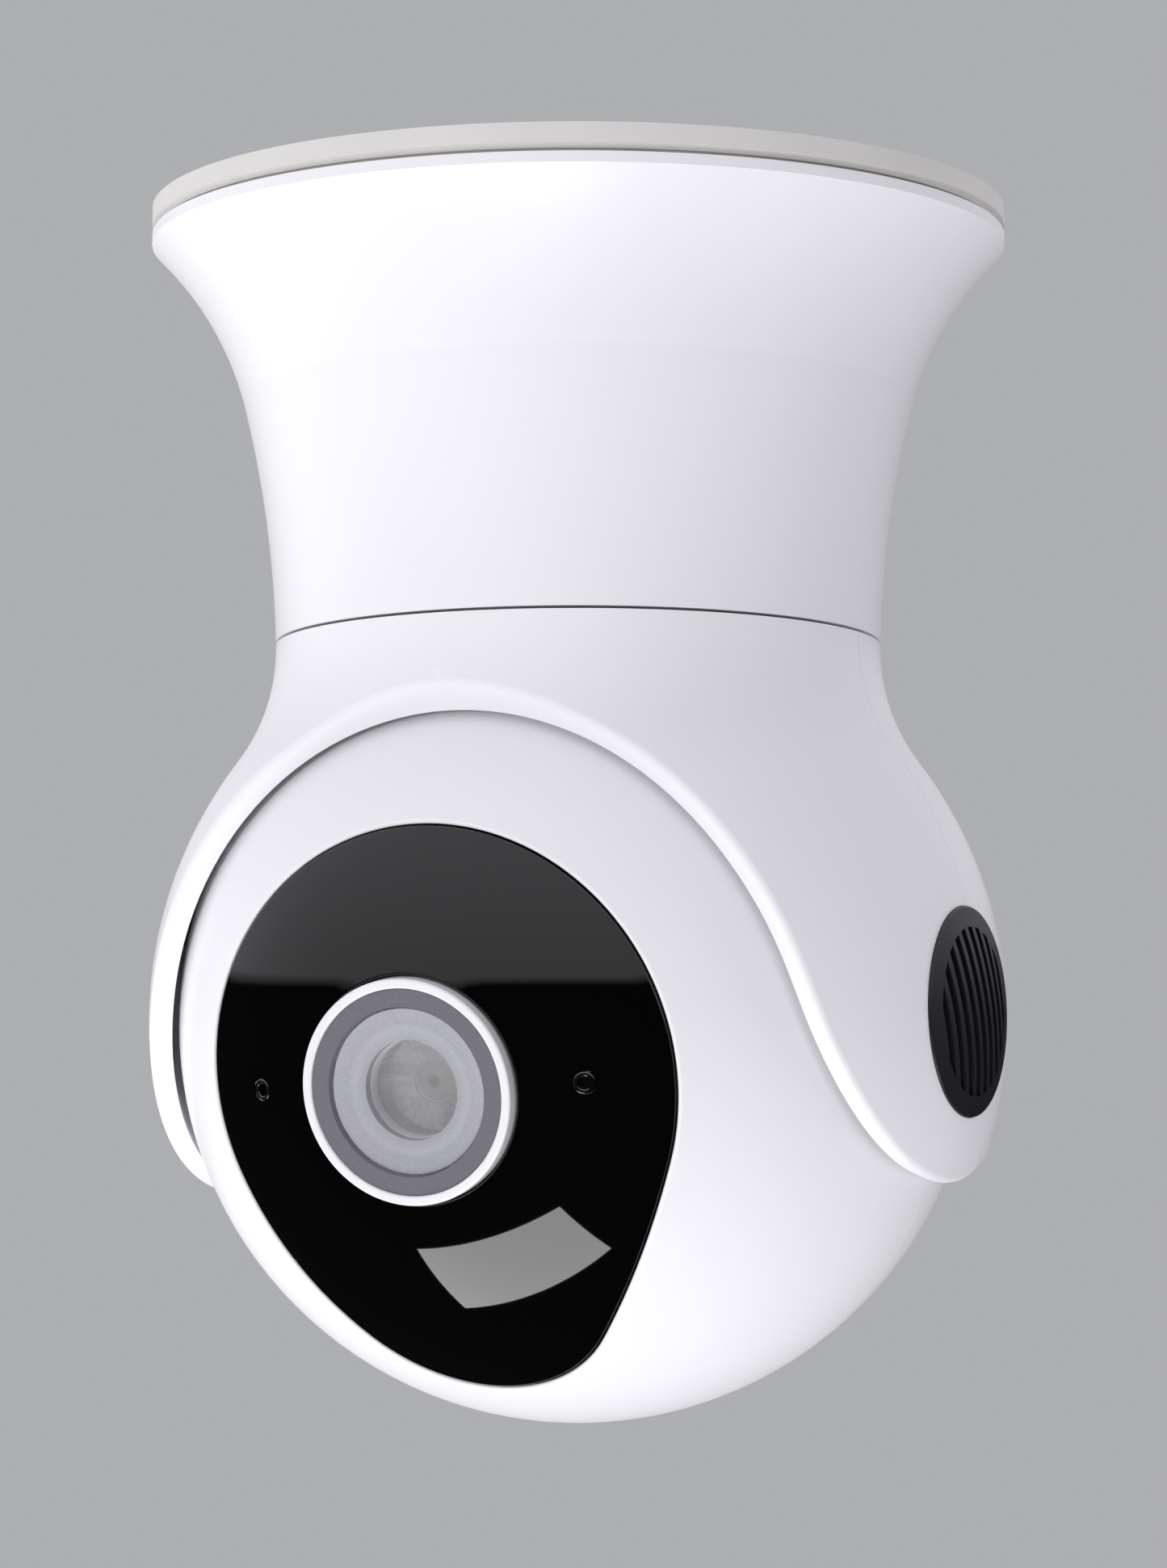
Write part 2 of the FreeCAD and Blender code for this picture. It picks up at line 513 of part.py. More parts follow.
def arch_quarter(count=9):
    """The lip's edge on the hood's room, from the foot of an ear up to the crown, at +X and -Y."""
    room, rise, radius = size("hood_bore"), size("ear_rise"), size("ear_radius")
    reach, side_arc = size("ear_reach"), size("ear_side_arc")
    knee = Vector(0, -reach, rise - math.sqrt(radius ** 2 - reach ** 2))
    side_centre = knee + (Vector(0, 0, rise) - knee) * (side_arc / radius)

    def side(height):
        return side_centre.y - math.sqrt(side_arc ** 2 - (height - side_centre.z) ** 2)

    low, crown = knee.z, room
    for _ in range(60):
        height = (low + crown) / 2
        if side(height) ** 2 + height ** 2 < room ** 2:
            low = height
        else:
            crown = height
    points = []
    turn = math.asin(reach / radius)
    for step in range(count):
        angle = turn * step / count
        points.append((-radius * math.sin(angle), rise - radius * math.cos(angle)))
    for step in range(count + 1):
        height = knee.z + (crown - knee.z) * math.sin(math.pi / 2 * step / count)
        points.append((side(height), height))
    return [Vector(math.sqrt(max(0.0, room ** 2 - y ** 2 - z ** 2)), y, z) for y, z in points]


def lip_surface():
    """The closed band along which the hood is cut: lines from the tilt centre through the arches."""
    quarter = arch_quarter()
    left = [Vector(-point.x, point.y, point.z) for point in reversed(quarter[:-1])]
    front = quarter + left
    rear = [Vector(point.x, -point.y, point.z) for point in reversed(front[1:-1])]
    wires = []
    for reach in (0.85, 1.2):
        curve = Part.BSplineCurve()
        curve.interpolate([point * reach for point in front + rear], PeriodicFlag=True)
        wires.append(Part.Wire(curve.toShape()))
    return Part.makeLoft(wires, False, True)


def hood_shell():
    """The whole hood, before it is parted into its front and rear halves."""
    ledge = size("tilt_depth") - size("skirt_depth")
    flange_top = ledge + size("skirt_flange_high")
    neck_room, groove = size("turntable_radius"), size("turntable_radius") + size("skirt_flange")
    fit = size("running_fit")
    room = Part.makeSphere(size("hood_bore")).common(
        Part.makeBox(2 * pad_face, 2 * beyond, 2 * beyond, Vector(-pad_face, -beyond, -beyond)))
    shell = hood_body().cut(room)
    shell = shell.cut(Part.makeCylinder(neck_room + fit, beyond, Vector(0, 0, ledge - fit)))
    shell = shell.cut(Part.makeCylinder(groove + fit, size("skirt_flange_high") + 2 * fit,
                                        Vector(0, 0, ledge - fit)))
    pieces = shell.generalFuse([lip_surface()])[0].Solids
    shell = max(pieces, key=lambda piece: piece.CenterOfMass.z)
    skin = size("hood_radius") - fit
    lip = sharp_edges(shell, lambda middle: middle.Length > skin and middle.z < ledge - 1)
    shell = shell.makeFillet(size("lip_round"), [edge for _, edge in lip])
    boss = cylinder(size("axle_radius"), size("boss_end"), size("speaker_floor"), "X")
    shell = shell.fuse(boss).cut(cylinder(size("axle_bore"), size("boss_end"), size("speaker_floor"), "X"))
    shell = shell.cut(cylinder(size("speaker_radius") + size("speaker_gap"), size("speaker_floor"), beyond,
                               "X"))
    shell = shell.cut(cylinder(size("grille_radius") + fit, size("grille_seat"), beyond, "X"))
    shell = shell.cut(cylinder(size("axle_radius"), -flange_face, -pad_face + 1, "X"))
    shell = shell.cut(cylinder(size("axle_flange"), -flange_face - size("axle_flange_thick"), -flange_face,
                               "X"))
    back = size("hood_screw_seat")
    for x, z in hood_screws:
        shell = shell.cut(cylinder(size("hood_screw"), back - size("hood_screw_long"), back, "Y", (x, z)))
        shell = shell.cut(cylinder(size("hood_screw_head"), back, beyond, "Y", (x, z)))
    return shell


shoulder_x = (size("turntable_radius") + size("neck_radius")) / 2 - size("hood_screw_inset")
shoulder_z = size("tilt_depth") - size("skirt_depth") - size("hood_screw_drop")
ear_x, ear_z = pad_face + size("ear_screw_out"), -size("speaker_radius") - size("ear_screw_drop")
hood_screws = [(side * x, z) for x, z in ((shoulder_x, shoulder_z), (ear_x, ear_z)) for side in (1, -1)]
flange_face = pad_face + size("axle_flange_cover")
half_groove = size("parting_wide") / 2
groove = Part.makeBox(2 * beyond, 2 * half_groove, 2 * beyond, Vector(-beyond, -half_groove, -beyond))
whole_hood = hood_shell().cut(groove.cut(hood_body(size("parting_deep"))))
for label, low in (("hood_front", -beyond), ("hood_rear", 0)):
    half_space = Part.makeBox(2 * beyond, beyond, 2 * beyond, Vector(-beyond, low, -beyond))
    placed(label, fixed_shape(whole_hood.common(half_space)), hood_frame)
screws, caps = [], []
seat_y, reach = size("hood_screw_seat"), size("hood_screw_long")
head_top, head_fit = seat_y + size("head_thick"), size("hood_screw_head") - size("running_fit")
for x, z in hood_screws:
    shank = cylinder(size("hood_screw"), seat_y - reach, seat_y, "Y", (x, z))
    screws.append(fixed_shape(shank.fuse(cylinder(head_fit, seat_y, head_top, "Y", (x, z)))))
    cap = cylinder(head_fit, head_top + size("head_room"), beyond, "Y", (x, z))
    caps.append(fixed_shape(cap.common(hood_body())))
placed("hood_screws", several(*screws), hood_frame)
placed("hood_screw_caps", several(*caps), hood_frame)

# Speaker in the right ear, behind a domed grille with leaning slots.
placed("speaker", rod("speaker_radius", "speaker_thick", ("speaker_floor", "0", "0"), "X"), hood_frame)
placed("speaker_gasket", ring("speaker_radius - gasket_wide", "speaker_radius",
                              "speaker_floor + speaker_thick", "grille_seat", "X"), hood_frame)
dome_radius = size("hood_radius") + size("grille_proud")
grille = cylinder(size("grille_radius"), size("grille_seat"), beyond, "X").common(
    Part.makeSphere(dome_radius))
field = cylinder(size("slot_field"), 0, beyond, "X")
slots = []
for count in range(int(size("grille_slots"))):
    y = (count - size("grille_slots") / 2) * size("slot_pitch") + (size("slot_pitch") - size("slot_wide")) / 2
    slot = Part.makeBox(beyond, size("slot_wide"), 2 * beyond, Vector(0, y, -beyond))
    slot.rotate(Vector(), Vector(1, 0, 0), size("slot_lean"))
    slots.append(slot.common(field))
on_dome = dome_radius - size("running_fit")
on_rim = size("grille_radius") - size("running_fit")
placed("speaker_grille", rounded(
    fixed_shape(grille.cut(slots)), "grille_round",
    lambda middle: middle.Length > on_dome and math.hypot(middle.y, middle.z) > on_rim), hood_frame)

# Tilt axle: clamped in the left ear by its flange, with the fixed tilt gear and a clip on its end.
gear_end = "-(tilt_gear_face - gear_wide)"
flange_out = "-(ball_flat + flat_gap + axle_flange_cover + axle_flange_thick)"
flange_in = "-(ball_flat + flat_gap + axle_flange_cover)"
placed("tilt_axle", turned([
    ("axle_bore", flange_out), ("axle_flange", flange_out), ("axle_flange", flange_in),
    ("axle_radius", flange_in), ("axle_radius", "-tilt_gear_face"), ("axle_seat", "-tilt_gear_face"),
    ("axle_seat", gear_end), ("axle_seat - clip_groove", gear_end),
    ("axle_seat - clip_groove", gear_end + " + clip_thick"), ("axle_seat", gear_end + " + clip_thick"),
    ("axle_seat", gear_end + " + clip_thick + axle_end"),
    ("axle_bore", gear_end + " + clip_thick + axle_end")],
    axis="X"), hood_frame)
fixed_gear = fixed_shape(gear_shape(int(size("tilt_gear_teeth")), size("gear_module"), size("gear_wide"),
                                    size("axle_seat"), 90 + size("lens_droop")))
placed("tilt_gear", seat(fixed_gear, ("-tilt_gear_face", "0", "0"), "X"), hood_frame)
placed("axle_clip", ring("axle_seat - clip_groove", "axle_seat + 0.8", gear_end, gear_end + " + clip_thick",
                         "X"), hood_frame)


# Ball: made about its own centre with the lens level, then tipped by the lens droop.
def ball_half(front):
    """Half of the ball's shell, flat where the ears cover it."""
    below = ("0", "0", "-beyond")
    outer = shared(ball("ball_radius"), block("2 * ball_flat", "2 * beyond", "2 * beyond", below))
    inner = shared(ball("ball_radius - ball_wall"),
                   block("2 * (ball_flat - ball_wall)", "2 * beyond", "2 * beyond", below))
    groove = ring("ball_radius - parting_deep", "ball_radius * 2",
                  "-parting_wide / 2", "parting_wide / 2", "Y")
    side = block("2 * beyond", "beyond", "2 * beyond",
                 ("0", ("-" if front else "") + "beyond / 2", "-beyond"))
    return shared(less(outer, inner, groove), side)


def teardrop(inset):
    """A prism along -Y in the window's outline: a round top, long side arcs and a rounder tip."""
    top, side, tip = size("window_radius"), size("window_side_arc"), size("window_tip_arc")
    tip_z = tip - size("window_tip")
    top_reach, tip_reach = side - top, side - tip
    rise = (tip_reach ** 2 - top_reach ** 2 - tip_z ** 2) / (-2 * tip_z)
    across = math.sqrt(top_reach ** 2 - rise ** 2)
    toward_top = Vector(across, 0, -rise) / top_reach
    toward_tip = Vector(across, 0, tip_z - rise) / tip_reach
    knee = toward_top * (top - inset)
    toe = Vector(0, 0, tip_z) + toward_tip * (tip - inset)
    halfway = (toward_top + toward_tip).normalize()
    belly = Vector(-across, 0, rise) + halfway * (side - inset)
    crown, foot = Vector(0, 0, top - inset), Vector(0, 0, -size("window_tip") + inset)

    def mirrored(point):
        return Vector(-point.x, 0, point.z)

    arcs = [Part.Arc(mirrored(knee), crown, knee), Part.Arc(knee, belly, toe),
            Part.Arc(toe, foot, mirrored(toe)), Part.Arc(mirrored(toe), mirrored(belly), mirrored(knee))]
    face = Part.Face(Part.Wire([arc.toShape() for arc in arcs]))
    face.translate(Vector(0, -size("window_root"), 0))
    return face.extrude(Vector(0, -beyond, 0))


ball_screw_at = "ball_screw_circle * 0.70710678"
corners_xz = [(x, z) for x in ("", "-") for z in ("", "-")]
ball_screws = [(x + ball_screw_at, z + ball_screw_at) for x, z in corners_xz]
bosses = [rod("slim_post", "boss_long", (x, "0", z), "-Y") for x, z in ball_screws]
main_posts = [(x + "post_x", z + "post_z") for x, z in corners_xz]
bosses += [rod("board_boss", "board_boss_long", (x, "-main_board_front", z), "-Y") for x, z in main_posts]
bush_outer = "axle_radius + running_fit + tilt_bush_wall"
side_holes = [rod(bush_outer, "ball_radius", (side + "(ball_flat - ball_wall * 2)", "0", "0"), way)
              for side, way in (("", "X"), ("-", "-X"))]
recess = fixed_shape(teardrop(0).cut(
    Part.makeSphere(size("ball_radius") - size("window_sink") - size("window_thick"))))
opening = fixed_shape(teardrop(size("window_ledge")))
screw_ways = [hole((x, "0", z), "-Y", "ball_screw_long - ball_screw_seat") for x, z in ball_screws]
screw_ways += [hole((x, "-main_board_front", z), "-Y", "screw_length") for x, z in main_posts]
on_ball = size("ball_radius") - size("running_fit")
front_shell = less(joined(ball_half(True), *bosses), recess, opening, *side_holes, *screw_ways)
placed("ball_front", rounded(front_shell, "pocket_round",
                             lambda middle: middle.Length > on_ball and middle.y < -1), ball_frame)

bosses = [rod("slim_post", "boss_long", (x, "0", z), "Y") for x, z in ball_screws]
tilt_ears = ["motor_ear", "-motor_ear"]
bosses += [rod("slim_post", "tilt_post_long", ("-tilt_motor_face", "tilt_motor_offset", z), "-X")
           for z in tilt_ears]
rail_low = "-sqrt((ball_radius - ball_wall)^2 - (card_board_y + 2)^2)"
rail_y = "card_board_y + card_board_thick / 2"
bosses += [block("rail_wide", "rail_deep", "rail_high",
                 (side + "(card_board_wide + rail_wide) / 2", rail_y, rail_low))
           for side in ("", "-")]
screw_ways = [hole((x, "0", z), "Y", "ball_screw_seat") for x, z in ball_screws]
screw_ways += [rod("head_radius + head_room", "beyond", (x, "ball_screw_seat", z), "Y")
               for x, z in ball_screws]
screw_ways += [hole(("-tilt_motor_face", "tilt_motor_offset", z), "-X", "screw_length - 1.5")
               for z in tilt_ears]
card_slit = block("card_wide + 2 * card_gap", "card_thick + 2 * card_gap", "ball_radius / 2",
                  ("0", "card_y", "-ball_radius - card_sunk"))
button_foot = "-sqrt(ball_radius^2 - button_y^2) + button_sunk"
button_way = rod("button_radius + button_gap", "ball_radius / 2", ("0", "button_y", "-ball_radius"))
placed("ball_rear", less(joined(ball_half(False), *bosses), card_slit, button_way, *side_holes, *screw_ways),
       ball_frame)
screws = []
for x, z in ball_screws:
    shank = rod("screw_radius", "ball_screw_long", (x, "ball_screw_seat", z), "-Y")
    screws.append(joined(shank, rod("head_radius", "head_thick", (x, "ball_screw_seat", z), "Y")))
placed("ball_screws", several(*screws), ball_frame)
bush_ends = (("-ball_flat", "-ball_flat + tilt_bush_long"), ("ball_flat - tilt_bush_long", "ball_flat"))
placed("tilt_bushes", several(*[ring("axle_radius + running_fit", bush_outer, low, high, "X")
                                for low, high in bush_ends]), ball_frame)

# Window: a dark teardrop panel, curved like the ball, with the lens hole and two small eyelets.
skin = Part.makeSphere(size("ball_radius") - size("window_sink")).cut(
    Part.makeSphere(size("ball_radius") - size("window_sink") - size("window_thick")))
panel = fixed_shape(teardrop(size("window_gap")).common(skin))
pierced = less(panel, rod("bezel_radius + bezel_gap", "beyond", ("0", "0", "0"), "-Y"),
               *[rod("eyelet", "beyond", (x, "0", "0"), "-Y") for x in ("eyelet_offset", "-eyelet_offset")])
on_window = size("ball_radius") - size("window_sink") - size("running_fit")
placed("window", rounded(pierced, "window_round", lambda middle: middle.Length > on_window), ball_frame)

# Lens group, from the bezel inward.
bezel_bore, board_front = "bezel_radius - bezel_wall", "-led_board_front"
glass_front = "-(bezel_front - glass_sink)"
glass_back = "-(bezel_front - glass_sink - glass_thick)"
bezel = turned([
    (bezel_bore, "-bezel_front"), ("bezel_radius", "-bezel_front"),
    ("bezel_radius", board_front + " - bezel_flange"),
    ("bezel_radius + bezel_flange", board_front + " - bezel_flange"),
    ("bezel_radius + bezel_flange", board_front), (bezel_bore, board_front)], axis="Y")
bezel_face = -size("bezel_front") + size("running_fit")
placed("lens_bezel", rounded(bezel, "bezel_round", lambda middle: middle.y < bezel_face), ball_frame)
glass_seat = "shroud_mouth + glass_ledge"
placed("cover_glass", ring("0", glass_seat + " - running_fit", glass_front, glass_back, "Y"), ball_frame)
placed("lens_shroud", turned([
    ("shroud_mouth", glass_back), (glass_seat, glass_back), (glass_seat, glass_front),
    (bezel_bore + " - running_fit", glass_front),
    (bezel_bore + " - running_fit", board_front + " - shroud_lip"),
    ("barrel_radius + shroud_clear", board_front + " - shroud_lip"),
    ("barrel_radius + shroud_clear", "-(barrel_front + shroud_gap)"),
    ("shroud_throat", "-(barrel_front + shroud_gap)"),
    ("shroud_throat", "-(barrel_front + shroud_gap + shroud_lip)")], axis="Y"),
    ball_frame)
placed("lens_barrel", turned([
    ("lens_radius", "-barrel_front"), ("barrel_radius + barrel_rim", "-barrel_front"),
    ("barrel_radius + barrel_rim", board_front), ("barrel_radius", board_front),
    ("barrel_radius", "-barrel_back"), ("pupil + barrel_relief", "-barrel_back"),
    ("pupil + barrel_relief", "-(barrel_front - lens_deep - pupil_thick)"),
    ("pupil", "-(barrel_front - lens_deep - pupil_thick)"), ("pupil", "-(barrel_front - lens_deep)"),
    ("lens_radius", "-(barrel_front - lens_deep)")], axis="Y"), ball_frame)
placed("front_element", turned([
    ("0", "-(barrel_front - lens_sunk)"), ("lens_radius", "-(barrel_front - lens_edge)"),
    ("lens_radius", "-(barrel_front - lens_deep)"), ("0", "-(barrel_front - lens_deep)")],
    axis="Y", arcs={0: ("lens_curve", 1)}), ball_frame)
cavity_deep = "barrel_back - main_board_front - holder_face"
cavity_y = "main_board_front + (%s) / 2" % cavity_deep
holder = block("holder_wide", "holder_front - main_board_front", "holder_wide",
               ("0", "-(main_board_front + holder_front) / 2", "-holder_wide / 2"))
cavity = block("holder_room", cavity_deep, "holder_room", ("0", "-(%s)" % cavity_y, "-holder_room / 2"))
placed("lens_holder", less(holder, cavity,
                           rod("barrel_radius", "holder_front", ("0", "-barrel_back", "0"), "-Y"),
                           rod("pupil * 1.7", "holder_front", ("0", "0", "0"), "-Y")), ball_frame)
placed("ir_filter", block("filter_wide", "filter_thick", "filter_wide",
                           ("0", "-(barrel_back - holder_face - filter_thick / 2)", "-filter_wide / 2")),
       ball_frame)
placed("image_sensor", block("sensor_wide", "sensor_thick", "sensor_wide",
                             ("0", "-(main_board_front + sensor_thick / 2)", "-sensor_wide / 2")),
       ball_frame)

# Boards behind the window: the ring of infrared lamps, the microphone and the status light.
placed("led_board", ring("bezel_radius", "led_board_radius", board_front, board_front + " + led_board_thick",
                         "Y"), ball_frame)
lamps = []
for angle in LAMP_ANGLES:
    x = "led_circle * %.9f" % math.cos(math.radians(angle))
    z = "led_circle * %.9f" % math.sin(math.radians(angle))
    lamps.append(rod("led_radius", "led_high", (x, board_front, z), "-Y"))
placed("infrared_lamps", several(*lamps), ball_frame)
placed("microphone", block("microphone_wide", "microphone_thick", "microphone_high",
                           ("-eyelet_offset", board_front + " - microphone_thick / 2",
                            "-microphone_high / 2")), ball_frame)
boot_at = ("-eyelet_offset", board_front + " - microphone_thick", "0")
boot = less(rod("boot_radius", "boot_long", boot_at, "-Y"), rod("eyelet", "boot_long", boot_at, "-Y"))
placed("microphone_boot", boot, ball_frame)
placed("light_pipe", rod("eyelet - running_fit", "pipe_long", ("eyelet_offset", board_front, "0"), "-Y"),
       ball_frame)

# Main board with its chips and heat spreader.
board_y = "-(main_board_front - board_thick / 2)"
board_back = "-(main_board_front - board_thick)"
board = block("main_board_wide", "board_thick", "main_board_high", ("0", board_y, "-main_board_high / 2"))
placed("main_board", less(board, *[hole((x, "-main_board_front", z), "Y", "board_thick")
                                   for x, z in main_posts]), ball_frame)
placed("board_screws", several(*[screw((x, board_back, z), "-Y") for x, z in main_posts]), ball_frame)
placed("processor", block("chip_wide", "chip_thick", "chip_wide",
                          ("0", board_back + " + chip_thick / 2", "-chip_drop")), ball_frame)
placed("heat_spreader", block("spreader_wide", "spreader_thick", "spreader_high",
                              ("0", board_back + " + chip_thick + spreader_thick / 2", "-spreader_drop")),
       ball_frame)
placed("wifi_module", block("radio_wide", "radio_thick", "radio_high",
                            ("radio_x", board_back + " + radio_thick / 2", "radio_rise")), ball_frame)

# Tilt drive: a geared motor in the ball whose pinion walks round the gear on the axle.
tilt_can = rod("motor_radius", "motor_long", ("-tilt_motor_face", "tilt_motor_offset", "0"), "X")
tilt_ear = block("motor_ear_thick", "post_radius * 2", "2 * motor_ear + post_radius * 2",
                 ("-(tilt_motor_face - motor_ear_thick / 2)", "tilt_motor_offset",
                  "-(motor_ear + post_radius)"))
ear_holes = [hole(("-tilt_motor_face", "tilt_motor_offset", z), "X", "motor_ear_thick") for z in tilt_ears]
shaft_bore = rod("motor_shaft + running_fit", "shaft_bore_deep",
                 ("-tilt_motor_face", "tilt_motor_offset", "0"), "X")
placed("tilt_motor", less(joined(tilt_can, tilt_ear), shaft_bore, *ear_holes), ball_frame)
placed("tilt_motor_screws", several(*[
    screw(("-(tilt_motor_face - motor_ear_thick)", "tilt_motor_offset", z), "-X", "screw_length - 1")
    for z in tilt_ears]), ball_frame)
placed("tilt_motor_shaft", rod("motor_shaft", "tilt_gear_face - tilt_motor_face + shaft_sunk",
                               ("-tilt_gear_face", "tilt_motor_offset", "0"), "X"), ball_frame)
pinion = fixed_shape(gear_shape(int(size("pinion_teeth")), size("gear_module"), size("gear_wide"),
                                size("motor_shaft"), 180 / size("pinion_teeth")))
placed("tilt_pinion", seat(pinion, ("-tilt_gear_face", "tilt_motor_offset", "0"), "X"), ball_frame)

# Card board in the underside of the ball: memory card socket, card, reset switch and its button.
card_low = "-sqrt(ball_radius^2 - (card_wide / 2)^2 - (card_y + card_thick)^2) + card_sunk"
card = block("card_wide", "card_thick", "card_long", ("0", "card_y", card_low))
placed("memory_card", card, ball_frame)
socket_low = card_low + " + socket_rise"
socket = less(block("card_wide + 2 * socket_side", "card_thick + 2 * socket_skin", "socket_long",
                    ("0", "card_y", socket_low)),
              block("card_wide + 2 * card_gap", "card_thick + 2 * card_gap", "socket_long - socket_end",
                    ("0", "card_y", socket_low)))
placed("card_socket", socket, ball_frame)
placed("card_board", block("card_board_wide", "card_board_thick", "card_long",
                           ("0", "card_board_y + card_board_thick / 2", socket_low + " + card_board_rise")),
       ball_frame)
flange_low = ("-sqrt((ball_radius - ball_wall)^2 - (button_y + button_radius + button_flange)^2)"
              " + button_travel")
button = joined(rod("button_radius", "button_long", ("0", "button_y", button_foot)),
                rod("button_radius + button_flange", "button_flange", ("0", "button_y", flange_low)))
placed("reset_button", button, ball_frame)
placed("reset_switch", block("switch_wide", "switch_deep", "switch_high",
                             ("0", "card_board_y + card_board_thick + switch_deep / 2",
                              button_foot + " + button_long + switch_gap")), ball_frame)

doc.recompute()
for thing in doc.Objects:
    if "Invalid" in thing.State or "Error" in thing.State:
        raise SystemExit("%s (%s) failed: %s" % (thing.Label, thing.Name, thing.State))
for thing in PARTS:
    if thing.Shape.isNull() or not thing.Shape.isValid():
        raise SystemExit("%s has no valid shape" % thing.Label)
os.makedirs("parts", exist_ok=True)
for thing in PARTS:
    thing.Shape.exportStep("parts/%s.step" % thing.Label)
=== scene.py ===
import json
import math

import bmesh
import bpy
from mathutils import Matrix, Vector


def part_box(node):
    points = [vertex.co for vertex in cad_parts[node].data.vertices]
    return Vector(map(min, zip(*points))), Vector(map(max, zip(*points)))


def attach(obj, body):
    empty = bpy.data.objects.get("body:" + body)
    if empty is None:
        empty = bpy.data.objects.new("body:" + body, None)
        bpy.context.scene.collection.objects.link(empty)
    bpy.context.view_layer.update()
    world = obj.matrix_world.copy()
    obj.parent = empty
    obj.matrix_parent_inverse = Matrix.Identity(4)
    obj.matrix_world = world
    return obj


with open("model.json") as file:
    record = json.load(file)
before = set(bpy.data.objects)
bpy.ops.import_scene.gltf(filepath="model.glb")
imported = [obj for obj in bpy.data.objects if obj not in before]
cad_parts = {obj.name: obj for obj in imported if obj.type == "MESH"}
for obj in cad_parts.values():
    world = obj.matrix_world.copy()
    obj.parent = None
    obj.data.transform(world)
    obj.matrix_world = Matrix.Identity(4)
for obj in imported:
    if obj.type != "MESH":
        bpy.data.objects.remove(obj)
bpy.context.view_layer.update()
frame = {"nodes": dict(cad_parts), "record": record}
nodes = frame["nodes"]


# --- mounting plate ---------------------------------------------------------------------------
# The ring that is screwed to the ceiling, moulded in warm grey ABS with a fine matt grain and a
# small bead round its lower edge. A thin rubber seal under it keeps the base from rattling.

def finish(name, colour, roughness, metallic=0.0, coat=0.0, grain=0.0, grain_size=0.0003,
           mottle=0.0, mottle_size=0.012, roughness_spread=0.0):
    """A solid finish whose colour drifts a little over the piece, with a fine surface grain."""
    material = bpy.data.materials.new(name)
    material.use_nodes = True
    tree = material.node_tree
    shader = tree.nodes["Principled BSDF"]
    shader.inputs["Base Color"].default_value = (*colour, 1)
    shader.inputs["Roughness"].default_value = roughness
    shader.inputs["Metallic"].default_value = metallic
    shader.inputs["Coat Weight"].default_value = coat
    shader.inputs["Coat Roughness"].default_value = 0.08
    place = tree.nodes.new("ShaderNodeTexCoord")
    if mottle:
        drift = tree.nodes.new("ShaderNodeTexNoise")
        drift.inputs["Scale"].default_value = 1 / mottle_size
        drift.inputs["Detail"].default_value = 3
        tint = tree.nodes.new("ShaderNodeValToRGB")
        tint.color_ramp.elements[0].position = 0.3
        tint.color_ramp.elements[0].color = (*[value * (1 - mottle) for value in colour], 1)
        tint.color_ramp.elements[1].position = 0.7
        tint.color_ramp.elements[1].color = (*colour, 1)
        tree.links.new(place.outputs["Object"], drift.inputs["Vector"])
        tree.links.new(drift.outputs["Fac"], tint.inputs["Fac"])
        tree.links.new(tint.outputs["Color"], shader.inputs["Base Color"])
    if roughness_spread:
        smear = tree.nodes.new("ShaderNodeTexNoise")
        smear.inputs["Scale"].default_value = 0.6 / mottle_size
        smear.inputs["Detail"].default_value = 5
        spread = tree.nodes.new("ShaderNodeMapRange")
        spread.inputs["To Min"].default_value = roughness - roughness_spread
        spread.inputs["To Max"].default_value = roughness + roughness_spread
        tree.links.new(place.outputs["Object"], smear.inputs["Vector"])
        tree.links.new(smear.outputs["Fac"], spread.inputs["Value"])
        tree.links.new(spread.outputs["Result"], shader.inputs["Roughness"])
    if grain:
        pits = tree.nodes.new("ShaderNodeTexNoise")
        pits.inputs["Scale"].default_value = 1 / grain_size
        pits.inputs["Detail"].default_value = 2
        relief = tree.nodes.new("ShaderNodeBump")
        relief.inputs["Strength"].default_value = grain
        relief.inputs["Distance"].default_value = 0.00005
        tree.links.new(place.outputs["Object"], pits.inputs["Vector"])
        tree.links.new(pits.outputs["Fac"], relief.inputs["Height"])
        tree.links.new(relief.outputs["Normal"], shader.inputs["Normal"])
    return material


def dress(material, *names):
    """Gives CAD nodes their finish."""
    for name in names:
        nodes[name].data.materials.clear()
        nodes[name].data.materials.append(material)


warm_grey = finish("warm_grey_abs", (0.69, 0.672, 0.655), 0.46, grain=0.12, grain_size=0.00035,
                   mottle=0.05, roughness_spread=0.05)
rubber = finish("black_rubber", (0.02, 0.02, 0.02), 0.75, grain=0.3, grain_size=0.0004, mottle=0.2)
seal_foam = finish("taupe_seal", (0.42, 0.385, 0.36), 0.7, grain=0.3, grain_size=0.0004, mottle=0.1)
dress(warm_grey, "mounting_plate")
dress(seal_foam, "mounting_seal")


# --- base --------------------------------------------------------------------------------------
# The flared housing, one glossy white moulding, and the cover that closes it from above and turns
# into the plate's lugs. Three zinc-plated screws hold the cover down.

white_plastic = finish("white_shell_plastic", (0.83, 0.828, 0.852), 0.40, coat=0.10, grain=0.04,
                       grain_size=0.0004, mottle=0.015, mottle_size=0.02, roughness_spread=0.04)
zinc = finish("zinc_plated_steel", (0.55, 0.55, 0.58), 0.32, metallic=1.0, grain=0.2,
              grain_size=0.0002, mottle=0.15, mottle_size=0.002, roughness_spread=0.08)
dress(white_plastic, "base_housing", "base_cover")
dress(zinc, "base_cover_screws")


# --- power board -------------------------------------------------------------------------------
# A round green board under the cover with the power socket that faces the slot at the back, and
# the leads that run down the hollow spindle to the ball.

